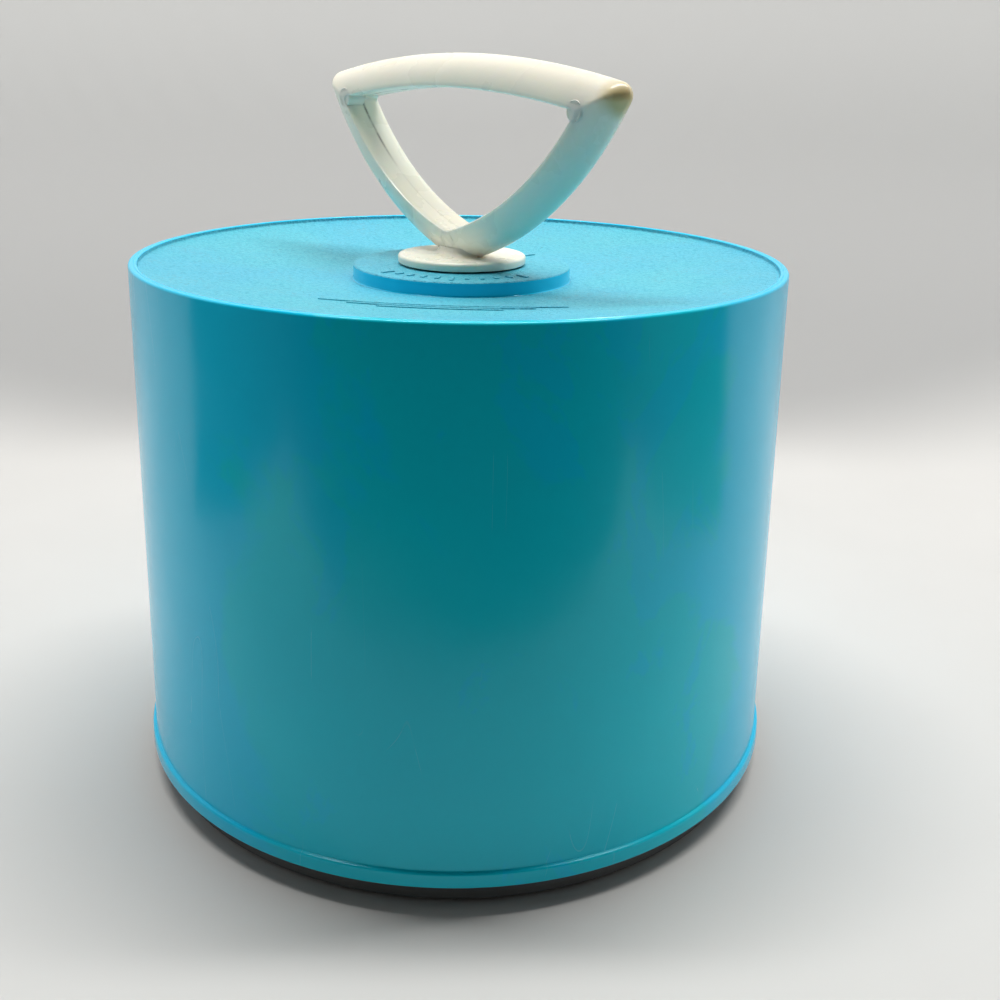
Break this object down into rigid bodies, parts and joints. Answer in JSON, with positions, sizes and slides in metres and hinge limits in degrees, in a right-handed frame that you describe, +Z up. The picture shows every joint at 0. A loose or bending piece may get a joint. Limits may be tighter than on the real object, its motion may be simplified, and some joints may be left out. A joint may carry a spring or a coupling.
{
  "type": "round record carrying case",
  "caption": "Round hard-plastic carrying case for seven-inch records: drum-shaped cover with a turning loop handle over a shallow base with a central spindle.",
  "frame": {"origin": "on the ground, under the middle of the base", "axes": "+Z up along the spindle; +X along the handle with the lock open; -Y towards the side that the handle's front face shows to"},
  "size_m": [0.197, 0.197, 0.2084],
  "materials": {
    "blue_shell": "turquoise-blue glossy styrene, faintly mottled and scratched, stippled on the top plate",
    "cream_handle": "cream moulded plastic, satin, yellowed in places",
    "cream_inner": "cream moulded plastic, satin",
    "black_base": "near-black moulded plastic with a fine grain",
    "fibre": "black vulcanised fibre",
    "spring_steel": "blued spring steel",
    "zinc_steel": "zinc-plated pressed steel",
    "screw_steel": "zinc-plated steel",
    "foot_rubber": "black rubber",
    "divider_sheet": "pressed manila board"
  },
  "bodies": {
    "base": {"base_pan": "black_base", "spindle": "cream_inner", "lock_plate": "zinc_steel", "lock_plate_screws": "screw_steel", "spindle_screws": "screw_steel", "rubber_foot_1": "foot_rubber", "rubber_foot_2": "foot_rubber", "rubber_foot_3": "foot_rubber", "rubber_foot_4": "foot_rubber", "index_divider_1": "divider_sheet", "index_divider_2": "divider_sheet", "index_divider_3": "divider_sheet", "index_divider_4": "divider_sheet"},
    "cover": {"cover": "blue_shell"},
    "handle": {"handle": "cream_handle", "thrust_washer": "fibre", "spring_washer": "spring_steel", "lock_cam": "cream_inner", "cam_washer": "screw_steel", "cam_screw": "screw_steel"}
  },
  "joints": [
    {"name": "cover_lift", "type": "slide", "parent": "base", "child": "cover", "axis": [0, 0, 1], "range_m": [0, 0.15]},
    {"name": "handle_turn", "type": "hinge", "parent": "cover", "child": "handle", "pos_m": [0, 0, 0.15], "axis": [0, 0, 1], "range_deg": [-90, 0]}
  ]
}
